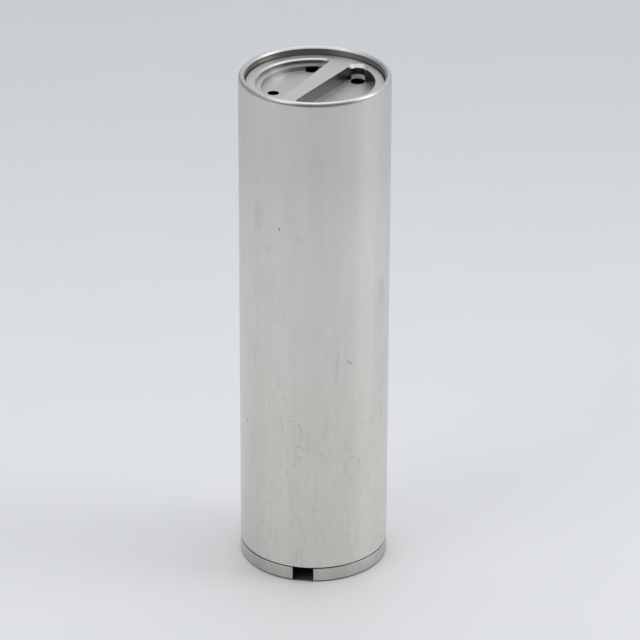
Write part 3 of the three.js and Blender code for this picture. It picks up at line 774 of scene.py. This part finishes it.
def sleeve():
    edge = 0.2
    groove_r, groove_low, groove_high = 17.9, 131.0, 132.0
    lip = [(x, TOP - LIP_FALL + y * LIP_FALL / LIP_R) for x, y in arc(OUTER_R - LIP_R, 0, LIP_R, 0, 90, 12)]
    crown = 0.5
    lip += arc(OUTER_R - LIP_R, TOP - crown, crown, 90, 130, 8)[1:]
    lip += [(RIM_R + 0.1, TOP - 0.6), (RIM_R + 0.03, TOP - 0.7), (RIM_R, TOP - 0.85)]
    inside = softened([
        (OUTER_R, SLEEVE_BOTTOM + 6),
        (OUTER_R, SLEEVE_BOTTOM),
        (BORE_R, SLEEVE_BOTTOM),
        (BORE_R, SLEEVE_BOTTOM + 6),
    ], edge)
    upper = softened([
        (RIM_R, DIAL_TOP),
        (RIM_R, DIAL_BOTTOM - 0.3),
        (PLATE_BORE_R, DIAL_BOTTOM - 0.3),
        (PLATE_BORE_R, groove_high),
        (groove_r, groove_high),
        (groove_r, groove_low),
        (PLATE_BORE_R, groove_low),
        (PLATE_BORE_R, PLATE_SEAT),
        (BORE_R, PLATE_SEAT),
        (BORE_R, 90),
    ], 0.1, 2)
    walls = [(OUTER_R, z) for z in range(20, 130, 20)]
    profile = list(reversed(inside)) + walls + lip + upper + [(BORE_R, 50)]
    tube = lathe("sleeve", profile, facets=256)
    notch = box("cutter", 16.4, RIM_R - 0.1, -1.7, 1.7, PLATE_SEAT, DIAL_BOTTOM - 0.2)
    keyway = box("cutter", KEY_IN, KEY_OUT + 0.3, -1.8, 1.8, KEY_LOW - 0.3, KEY_HIGH + 0.3)
    bayonet = []
    for turn in LUG_TURNS:
        bayonet.append(sector("cutter", 16.0, 17.6, turn - 10, turn + 10, SLEEVE_BOTTOM - 1, 6.6))
        bayonet.append(sector("cutter", 16.0, 17.6, turn - 10, turn + 60, 6.5, 9.5))
    return cut(tube, notch, keyway, *bayonet)


POST_R = 4.5
POST_BORE = 3.2
PLATE_LOW = corner("bearing_plate", 0, 2)
PLATE_HIGH = corner("bearing_plate", 1, 2)
DETENT_AT = polar(7, -30)


def bearing_plate():
    plate = turned("plate", [
        (POST_R + 0.2, PLATE_LOW),
        (8.9, PLATE_LOW),
        (8.9, PLATE_SEAT + 0.3),
        (17.2, PLATE_SEAT + 0.3),
        (17.2, 130.9),
        (15.8, 130.9),
        (15.8, PLATE_HIGH),
        (5.55, PLATE_HIGH),
        (5.55, 131.1),
        (POST_R + 0.2, 131.1),
    ], 0.12, 160)
    tab = box("tab", 16.2, RIM_R - 0.3, -1.5, 1.5, PLATE_SEAT + 0.31, 130.89, 0, 0.2)
    plate = joined(plate, tab)
    return cut(plate, rod("cutter", 1.05, 126.7, 140, at=DETENT_AT))


def wheel_post():
    low, high = corner("wheel_post", 0, 2), corner("wheel_post", 1, 2)
    post = turned("post", [
        (POST_BORE, low),
        (POST_R, low),
        (POST_R, 104.2),
        (4.0, 104.2),
        (4.0, 105.5),
        (POST_R, 105.5),
        (POST_R, 131.4),
        (5.3, 131.4),
        (5.3, high),
        (POST_BORE, high),
    ], 0.12, 96)
    return cut(post, box("cutter", -1, 1, -6, -3.8, low - 1, 123))


def snap_ring():
    low, high = corner("plate_snap_ring", 0, 2), corner("plate_snap_ring", 1, 2)
    return sector("ring", 16.2, 17.7, 20, 340, low, high, 0.08, 0.35)


def post_circlip():
    low, high = corner("post_circlip", 0, 2), corner("post_circlip", 1, 2)
    return sector("clip", 4.2, 6.8, -60, 240, low, high, 0.08, 0.5, 6)


def guide_key():
    outline = [(KEY_IN, -KEY_HALF), (KEY_OUT, -KEY_HALF), (KEY_OUT, KEY_HALF), (KEY_IN, KEY_HALF)]
    return prism("key", softened_ring(outline, 0.3), KEY_LOW, KEY_HIGH, 0.2)


def wheel_spacer(k):
    node = f"wheel_spacer_{k}"
    low, high = corner(node, 0, 2), corner(node, 1, 2)
    ring = turned("spacer", [(POST_R + 0.25, low), (8.3, low), (8.3, high), (POST_R + 0.25, high)], 0.12, 72)
    tab = box("tab", -0.75, 0.75, -5.2, -4.1, low + 0.01, high - 0.01, 0, 0.1)
    return joined(ring, tab)


# Dial and what turns with it


def pocket_outline(radius, offset, corner_r, grow, z):
    """A disc's segment beyond offset, its corners rounded, all of it grown by grow, at height z."""
    radius, offset, corner_r = radius + grow, offset - grow, corner_r + grow
    x = offset + corner_r
    y = math.sqrt((radius - corner_r) ** 2 - x ** 2)
    swing = math.degrees(math.atan2(y, x))
    points = arc(x, -y, corner_r, 180, 360 - swing, 12)
    points += arc(0, 0, radius, -swing, swing, 96)[1:-1]
    points += arc(x, y, corner_r, swing, 180, 12)
    return [(px, py, z) for px, py in points]


def pocket_cutter(radius, flank, corner_r, floor, top, fillet=0.12, edge=0.05):
    """A pocket's space: a small fillet round its floor and a broken edge at its mouth."""
    facing, offset = flank
    levels = []
    for k in range(4):
        a = math.radians(90 * k / 3)
        levels.append((fillet * (math.sin(a) - 1), floor + fillet * (1 - math.cos(a))))
    levels += [(0, top - edge), (edge, top), (edge + 1, top + 1)]
    loops = [pocket_outline(radius, offset, corner_r, grow, z) for grow, z in levels]
    return loft("cutter", loops, Matrix.Rotation(math.radians(facing), 4, "Z"))


def hole_cutter(x, y, radius, low, top, edge):
    profile = [(0, low), (radius, low), (radius, top - edge), (radius + edge + 1, top + 1), (0, top + 1)]
    return lathe("cutter", profile, facets=64, at=(x, y))


def dial():
    disc = lathe("dial", softened([
        (0, DIAL_TOP - 1.6),
        (1.65, DIAL_TOP - 1.6),
        (1.65, DIAL_BOTTOM + 1.6),
        (3.15, DIAL_BOTTOM + 1.6),
        (3.15, DIAL_BOTTOM),
        (DIAL_R, DIAL_BOTTOM),
        (DIAL_R, DIAL_TOP),
        (0, DIAL_TOP),
    ], 0.2, 4), facets=256)
    ledge = DIAL_TOP - LEDGE_DEPTH
    left_floor = DIAL_TOP - LEFT_DEPTH
    turn, offset = BAR_LEFT
    below = DIAL_BOTTOM - 1
    dimple = [(0, below), (1.5, below), (0, DIAL_BOTTOM + 0.5)]
    x, y, radius = BLIND_HOLE
    return cut(
        disc,
        pocket_cutter(RIGHT_POCKET_R, BAR_RIGHT, RIGHT_CORNER_R, DIAL_TOP - RIGHT_DEPTH, DIAL_TOP),
        pocket_cutter(LEDGE_R, (turn, offset + 0.01), LEFT_CORNER_R, left_floor, ledge),
        pocket_cutter(LEFT_POCKET_R, BAR_LEFT, LEFT_CORNER_R, ledge, DIAL_TOP, 0.06, LEFT_EDGE),
        hole_cutter(*SMALL_HOLE, below, left_floor, 0.05),
        rod("cutter", radius, below, ledge - 0.4, facets=64, at=(x, y)),
        hole_cutter(*SUNK_HOLE, below, DIAL_TOP, COUNTERSINK),
        *[lathe("cutter", dimple, 24, polar(7, -30 + 30 * k)) for k in range(12)],
    )


def dial_spindle():
    shoulder = 102.3
    shaft = lathe("spindle", [
        (0, 95.3), (1.55, 95.3), (1.85, 95.6),
        *[(1.85 - 0.16 * (k % 2), 95.8 + 0.2 * k) for k in range(16)],
        (1.85, 99.2), (2.05, 99.3), (2.05, shoulder), (2.85, shoulder), (3.0, shoulder + 0.15),
        (3.0, DIAL_BOTTOM + 1.15), (2.85, DIAL_BOTTOM + 1.3), (1.45, DIAL_BOTTOM + 1.3),
        *[(1.45 - 0.14 * (k % 2), DIAL_BOTTOM + 1.5 + 0.2 * k) for k in range(12)],
        (1.2, DIAL_TOP - 1.9), (0, DIAL_TOP - 1.9),
    ], 64)
    square = box("square", -2.1, 2.1, -2.1, 2.1, 99.3, shoulder + 0.1, 0, 0.3)
    return joined(shaft, square)


PIN_R = 0.75
PIN_HOLE_R = 0.95
PIN_CIRCLE_R = 10.2
PIN_SPACING = 1.8  # a pin's width and a gap
DRIVE_PIN_TURN = -80
DRIVE_PIN_AT = polar(PIN_CIRCLE_R, DRIVE_PIN_TURN)
CAM_LOW, CAM_HIGH = corner("drive_cam", 0, 2), corner("drive_cam", 1, 2)


def drive_cam():
    cam = turned("cam", [(0, CAM_LOW), (11.4, CAM_LOW), (11.4, CAM_HIGH), (0, CAM_HIGH)], 0.25, 128)
    return cut(
        cam,
        box("cutter", -2.4, 2.4, -2.4, 2.4, CAM_LOW - 1, CAM_HIGH + 1, 0, 0.2),
        rod("cutter", PIN_HOLE_R, CAM_LOW - 1, CAM_HIGH + 1, at=DRIVE_PIN_AT),
        *[rod("cutter", 1.4, CAM_LOW - 1, CAM_HIGH + 1, at=polar(7, turn)) for turn in (40, 160, 280)],
    )


def cam_nut():
    low, high = corner("cam_nut", 0, 2), corner("cam_nut", 1, 2)
    nut = prism("nut", hexagon(6.99, 30), low, high)
    rim = [(0, low), (3.4, low), (4.2, low + 0.4), (4.2, high - 0.4), (3.4, high), (0, high)]
    nut = combined(nut, "INTERSECT", lathe("cutter", rim, 64))
    return cut(nut, rod("cutter", 2.15, low - 1, high + 1, facets=48))


def pin(node, at):
    return rod("pin", PIN_R, corner(node, 0, 2), corner(node, 1, 2), 0.2, 32, at)


def pin_turn(k):
    """Where wheel k's pin stands, in degrees: the lowest wheel's is next to the drive pin."""
    return DRIVE_PIN_TURN + (5 - k) * math.degrees(PIN_SPACING / PIN_CIRCLE_R)


def tumbler_wheel(k):
    node = f"tumbler_wheel_{k}"
    low, high = corner(node, 0, 2), corner(node, 1, 2)
    wheel = turned("wheel", [(4.75, low), (14.2, low), (14.2, high), (4.75, high)], 0.2, 160)
    notches = [box("cutter", -1.2, 1.2, 13.4, 15.5, low - 1, high + 1, math.radians(turn + 25 * k))
               for turn in (70, 160)]
    return cut(
        wheel,
        box("cutter", -2.5, 2.5, 11.8, 15.5, low - 1, high + 1, 0, 0.15),
        rod("cutter", PIN_HOLE_R, low - 1, high + 1, at=polar(PIN_CIRCLE_R, pin_turn(k))),
        *notches,
    )


# Capsule and what is fixed to it

HEAD_SCREWS = [polar(14.7, turn) for turn in (30, 150, 270)]
FOOT_SCREWS = [polar(8, turn) for turn in (30, 150, 270)]
FENCE_SCREWS = [(-5, 12.6), (5, 12.6)]
CAVITY_R = 13.7
CAVITY_FLOOR = 16.0
BASE_DETENT_AT = polar(14.9, 150)


def key_groove(low, high):
    return box("cutter", KEY_IN - 0.3, CAPSULE_R + 2, -KEY_HALF - 0.2, KEY_HALF + 0.2, low, high, 0, 0.1)


def window_cutter():
    half, low, high, corner_r = 8.0, 24.0, 78.0, 4.0
    middle = (low + high) / 2
    outline = []
    for x, z, start in ((half, high, 0), (-half, high, 90), (-half, low, 180), (half, low, 270)):
        cx = x - math.copysign(corner_r, x)
        cz = z - math.copysign(corner_r, z - middle)
        outline += arc(cx, cz, corner_r, start, start + 90, 12)
    return loft("cutter", [[(x, y, z) for x, z in outline] for y in (0, -CAPSULE_R - 2)])


def capsule_body():
    seal_low, seal_high = 6.0, 7.4
    shoulder = 9.5
    body = turned("capsule", [
        (0, BOSS_BOTTOM),
        (CAVITY_R, BOSS_BOTTOM),
        (CAVITY_R, seal_low),
        (12.7, seal_low),
        (12.7, seal_high),
        (CAVITY_R, seal_high),
        (CAVITY_R, shoulder),
        (CAPSULE_R, shoulder),
        (CAPSULE_R, CAPSULE_TOP),
        (CAVITY_R, CAPSULE_TOP),
        (CAVITY_R, CAVITY_FLOOR),
        (0, CAVITY_FLOOR),
    ], 0.2, 160)
    holes = [rod("cutter", 0.85, 84.7, CAPSULE_TOP + 1, at=at) for at in HEAD_SCREWS]
    holes += [rod("cutter", 1.2, BOSS_BOTTOM - 1, 8.4, at=at) for at in FOOT_SCREWS]
    return cut(
        body,
        key_groove(KEY_LOW - 0.8, CAPSULE_TOP + 1),
        window_cutter(),
        rod("cutter", 1.0, BOSS_BOTTOM, 15.5, at=BASE_DETENT_AT),
        *holes,
    )


def capsule_head():
    bottom = CAPSULE_TOP + 0.3
    low = corner("capsule_head", 0, 2)
    head = turned("head", [
        (0, low),
        (CAVITY_R - 0.3, low),
        (CAVITY_R - 0.3, bottom),
        (CAPSULE_R, bottom),
        (CAPSULE_R, HEAD_TOP),
        (0, HEAD_TOP),
    ], 0.25, 160)
    holes = []
    for at in HEAD_SCREWS:
        holes.append(rod("cutter", 0.85, low - 1, HEAD_TOP + 1, at=at))
        holes.append(rod("cutter", 1.4, HEAD_TOP - 1.2, HEAD_TOP + 1, at=at))
    holes += [rod("cutter", 1.2, bottom + 0.4, HEAD_TOP + 1, at=at) for at in FENCE_SCREWS]
    return cut(head, key_groove(low - 1, HEAD_TOP + 1), *holes)


def chord_outline(radius, half, cut_y):
    """The part of a disc above cut_y and between -half and half."""
    reach = math.degrees(math.asin(half / radius))
    return arc(0, 0, radius, 90 - reach, 90 + reach, 24) + [(-half, cut_y), (half, cut_y)]


def fence_bar():
    low, high = corner("fence_bar", 0, 2), corner("fence_bar", 1, 2)
    foot_top = low + 2.2
    foot = prism("fence", softened_ring(chord_outline(CAPSULE_R, 7, 10.2), 0.3), low, foot_top, 0.15)
    reach_out = math.degrees(math.asin(4 / CAPSULE_R))
    reach_in = math.degrees(math.asin(4 / 14.7))
    section = arc(0, 0, CAPSULE_R, 90 - reach_out, 90 + reach_out, 12)
    section += arc(0, 0, 14.7, 90 + reach_in, 90 - reach_in, 12)
    bar = prism("bar", softened_ring(section, 0.12), foot_top - 0.5, high, 0.12)
    bar = joined(foot, bar)
    for k in range(4):
        z = corner(f"tumbler_wheel_{k + 1}", 1, 2) + 0.5
        tooth = [(-2, 12.2), (2, 12.2), (2, 15.5), (-2, 15.5)]
        bar = joined(bar, prism("tooth", softened_ring(tooth, 0.15), z, z + 1.6, 0.12))
    return cut(bar, *[rod("cutter", 1.2, low - 1, foot_top + 1, at=at) for at in FENCE_SCREWS])


def seal_ring():
    points = arc(13.35, 6.7, 0.5, 0, 360, 16)[:-1]
    return lathe("seal", points, 128)


def foot_plate():
    outline = [(0, FOOT_BOTTOM), (FOOT_R, FOOT_BOTTOM), (FOOT_R, FOOT_TOP), (0, FOOT_TOP)]
    plate = turned("foot", outline, 0.4, 160)
    holes = []
    for at in FOOT_SCREWS:
        holes.append(rod("cutter", 1.25, -1, FOOT_TOP + 1, at=at))
        holes.append(rod("cutter", 2.2, -1, FOOT_BOTTOM + 1.4, facets=48, at=at))
    groove_top = FOOT_BOTTOM + 0.25
    for r in (11.2, 12.6):
        groove = [(r, 0), (r + 0.5, 0), (r + 0.5, groove_top), (r, groove_top)]
        holes.append(turned("cutter", groove, 0.05))
    return cut(plate, *holes)


# Base ring


def base_ring():
    inner_r = FOOT_R + 0.3
    ring = lathe("base_ring", softened_ring([
        (inner_r, 0),
        (OUTER_R - 0.45, 0),
        (OUTER_R, 0.45),
        (OUTER_R, SEAM_TOP),
        (16.3, SEAM_TOP),
        (16.3, SPIGOT_TOP),
        (14.0, SPIGOT_TOP),
        (14.0, BOSS_BOTTOM),
        (inner_r, BOSS_BOTTOM),
    ], 0.18), facets=256)
    lugs = [sector("lug", 15.6, 17.3, turn - 7, turn + 7, 7, 9, 0.1, 0.15) for turn in LUG_TURNS]
    ring = joined(ring, *lugs)
    slot_turn = math.radians(SLOT_TURN)
    outer_slot = rounded_box("cutter", (5, SLOT_WIDTH, 7), (19.1, 0, 1.5), slot_turn)
    inner_size = (4, SLOT_WIDTH, BOSS_BOTTOM + 1)
    inner_slot = rounded_box("cutter", inner_size, (15.6, 0, (BOSS_BOTTOM - 1) / 2), slot_turn)
    return cut(ring, outer_slot, inner_slot)


def build():
    settle(sleeve(), "outer_sleeve", "sleeve", SATIN)
    settle(bearing_plate(), "bearing_plate", "sleeve", TURNED)
    settle(snap_ring(), "plate_snap_ring", "sleeve", SPRING)
    settle(wheel_post(), "wheel_post", "sleeve", TURNED)
    settle(post_circlip(), "post_circlip", "sleeve", SPRING)
    settle(guide_key(), "guide_key", "sleeve", TURNED)
    for k in (1, 2, 3):
        settle(wheel_spacer(k), f"wheel_spacer_{k}", "sleeve", BRASS)

    settle(dial(), "dial_disc", "dial", FACED)
    settle(dial_spindle(), "dial_spindle", "dial", TURNED)
    settle(drive_cam(), "drive_cam", "dial", BRASS)
    settle(cam_nut(), "cam_nut", "dial", SCREW)
    settle(pin("drive_pin", DRIVE_PIN_AT), "drive_pin", "dial", TURNED)
    for k in (1, 2, 3, 4):
        settle(tumbler_wheel(k), f"tumbler_wheel_{k}", f"wheel_{k}", BRASS)
        fly_pin = pin(f"fly_pin_{k}", polar(PIN_CIRCLE_R, pin_turn(k)))
        settle(fly_pin, f"fly_pin_{k}", f"wheel_{k}", TURNED)

    settle(capsule_body(), "capsule_body", "capsule", DRAWN)
    settle(capsule_head(), "capsule_head", "capsule", DRAWN)
    for k, at in enumerate(HEAD_SCREWS, 1):
        head = screw("screw", 0.65, 1.15, 85, HEAD_TOP - 0.9, HEAD_TOP - 0.1, at, 1.0)
        settle(head, f"head_screw_{k}", "capsule", SCREW)
    settle(fence_bar(), "fence_bar", "capsule", TURNED)
    for k, at in enumerate(FENCE_SCREWS, 1):
        seat = corner("fence_bar", 0, 2) + 2.5
        head = screw("screw", 0.95, 1.8, CAPSULE_TOP + 1, seat, seat + 1.4, at, 1.6)
        settle(head, f"fence_screw_{k}", "capsule", SCREW)
    settle(seal_ring(), "seal_ring", "capsule", RUBBER)
    settle(foot_plate(), "foot_plate", "capsule", ACETAL)
    for k, at in enumerate(FOOT_SCREWS, 1):
        head = screw("screw", 0.95, 1.9, 8, FOOT_BOTTOM + 1.1, FOOT_BOTTOM + 0.3, at, 1.6)
        settle(head, f"foot_screw_{k}", "capsule", SCREW)
    settle(base_ring(), "base_ring", "base", BASE)

    dial_ball = ball("ball", 0.95, DIAL_BOTTOM - 1.15, DETENT_AT)
    settle(dial_ball, "dial_detent_ball", "dial_detent", SPRING)
    dial_spring = coil("spring", 0.65, 0.18, 127, 130.1, 4, DETENT_AT)
    settle(dial_spring, "dial_detent_spring", "sleeve", SPRING)
    base_ball = ball("ball", 0.85, SPIGOT_TOP + 1.05, BASE_DETENT_AT)
    settle(base_ball, "base_detent_ball", "base_detent", SPRING)
    base_spring = coil("spring", 0.6, 0.18, 11.4, 15.2, 4, BASE_DETENT_AT)
    settle(base_spring, "base_detent_spring", "capsule", SPRING)


build()

bpy.context.scene.view_settings.view_transform = "Standard"
